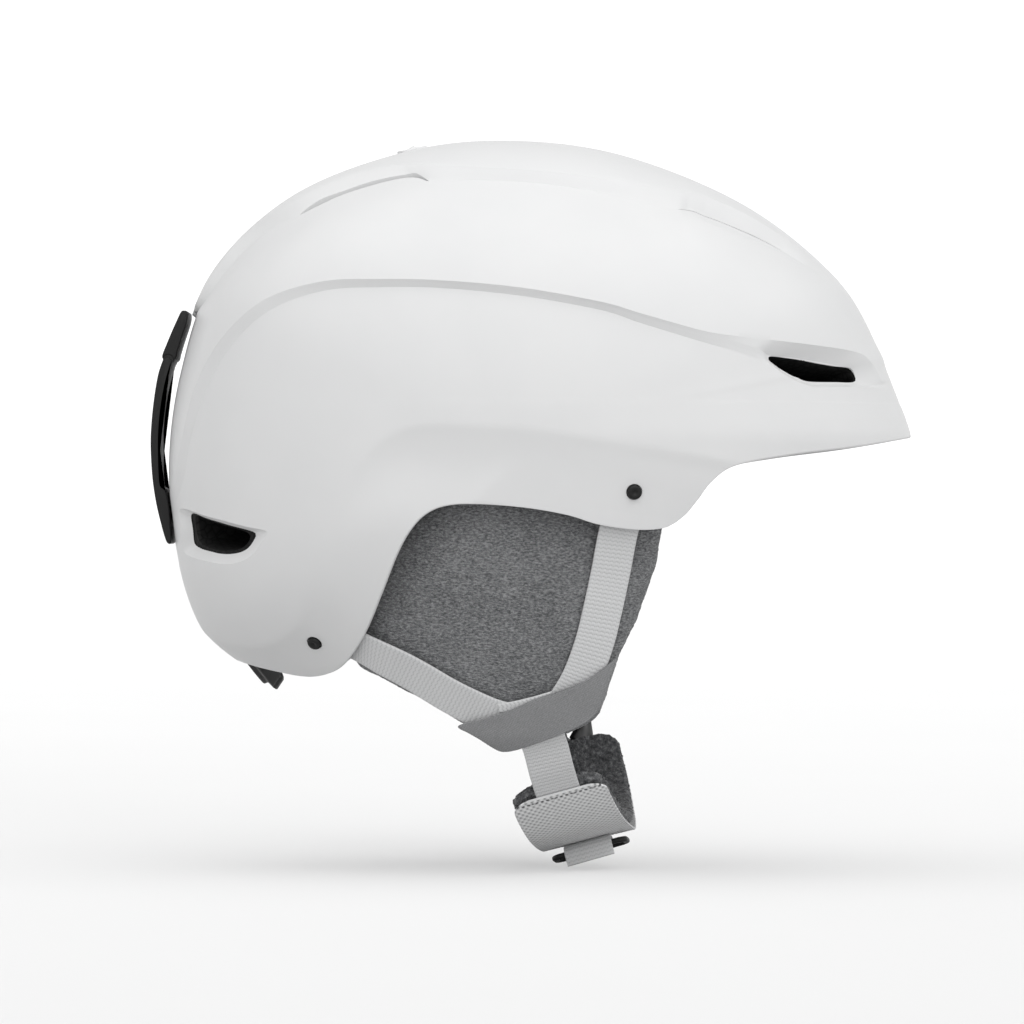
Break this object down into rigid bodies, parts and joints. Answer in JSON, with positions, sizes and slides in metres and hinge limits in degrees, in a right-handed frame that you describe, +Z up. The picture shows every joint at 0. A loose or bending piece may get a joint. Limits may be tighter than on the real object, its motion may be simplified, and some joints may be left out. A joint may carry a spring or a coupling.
{
  "type": "ski helmet",
  "caption": "Snow helmet with a moulded hard shell and visor brim, foam liner, fleece ear pads, a dial fit system, a sliding crown vent, a goggle-strap retainer and a padded chin strap.",
  "frame": {"origin": "centre of the head opening, level with the visor's tip, on the mid-plane", "axes": "+X towards the visor (front), +Y towards the wearer's left, +Z up through the crown"},
  "size_m": [0.2958, 0.212, 0.2839],
  "materials": {
    "shell": "satin white injection-moulded shell with a very fine grain",
    "foam": "black beaded foam, matt, fine bead pattern",
    "fleece": "deep-pile dark grey fleece",
    "ear_fleece": "short-nap mid-grey fleece over soft foam",
    "knit": "smooth elastic knit band",
    "webbing": "light grey polyester webbing with fine cross ribs",
    "woven_nylon": "light grey basket-woven cover",
    "black_plastic": "black moulded nylon, satin",
    "grey_plastic": "dark grey moulded nylon, satin",
    "steel": "plain turned steel"
  },
  "bodies": {
    "helmet": {"upper_shell": "shell", "lower_shell_wrap": "shell", "impact_liner": "foam", "crown_pad": "fleece", "brow_pad": "fleece", "side_pad_left": "fleece", "side_pad_right": "fleece", "height_anchor": "black_plastic", "belt_guide_left": "black_plastic", "belt_guide_right": "black_plastic", "retainer_base": "black_plastic", "ear_pad_left": "ear_fleece", "ear_pad_right": "ear_fleece", "ear_pad_band_left": "knit", "ear_pad_band_right": "knit", "strap_divider_left": "black_plastic", "strap_divider_right": "black_plastic", "lower_strap_left": "webbing", "lower_strap_right": "webbing", "front_strap_left": "webbing", "front_strap_right": "webbing", "rear_strap_left": "webbing", "rear_strap_right": "webbing", "strap_rivet_front_left": "black_plastic", "strap_rivet_front_right": "black_plastic", "strap_rivet_rear_left": "black_plastic", "strap_rivet_rear_right": "black_plastic"},
    "cradle_hanger": {"cradle_hanger": "black_plastic"},
    "cradle": {"cradle_frame": "grey_plastic", "fit_belt_left": "grey_plastic", "fit_belt_right": "grey_plastic", "dial_housing": "grey_plastic", "nape_pad": "fleece"},
    "dial": {"dial_knob": "grey_plastic", "dial_pinion": "steel"},
    "vent_slider": {"vent_slider_knob": "shell", "vent_shutter": "black_plastic"},
    "retainer": {"retainer_band": "black_plastic"},
    "chin_loop": {"chin_strap": "webbing", "chin_pad_cover": "woven_nylon", "chin_pad_fleece": "fleece", "strap_slider": "black_plastic", "strap_tail": "webbing", "buckle_stud_plate": "black_plastic"},
    "buckle": {"buckle_socket": "black_plastic", "far_lower_strap": "webbing"}
  },
  "joints": [
    {"name": "cradle_height", "type": "slide", "parent": "helmet", "child": "cradle_hanger", "axis": [0, 0, 1], "range_m": [-0.004, 0.005]},
    {"name": "cradle_tighten", "type": "slide", "parent": "cradle_hanger", "child": "cradle", "axis": [1, 0, 0], "range_m": [0, 0.012]},
    {"name": "fit_dial_turn", "type": "hinge", "parent": "cradle", "child": "dial", "pos_m": [-0.1, 0, -0.087], "axis": [0.8, 0, 0.6], "range_deg": [0, 270]},
    {"name": "crown_vent_slide", "type": "hinge", "parent": "helmet", "child": "vent_slider", "pos_m": [0.0008, 0, -0.0535], "axis": [0, 1, 0], "range_deg": [0, 2.7]},
    {"name": "goggle_retainer_lift", "type": "hinge", "parent": "helmet", "child": "retainer", "pos_m": [-0.1294, 0, 0.0295], "axis": [0, 1, 0], "range_deg": [0, 18], "stiffness_Nm_per_rad": 1},
    {"name": "chin_loop_swing", "type": "hinge", "parent": "helmet", "child": "chin_loop", "pos_m": [0.0168, 0, -0.1194], "axis": [0, 1, 0], "range_deg": [-15, 25]},
    {"name": "buckle_unsnap", "type": "hinge", "parent": "chin_loop", "child": "buckle", "pos_m": [0.0168, 0.0708, -0.1196], "axis": [1, 0, 0], "range_deg": [0, 65]}
  ],
  "couplings": [
    {"joint": "fit_dial_turn", "follows": "cradle_tighten", "rad_per_m": 392.7}
  ]
}
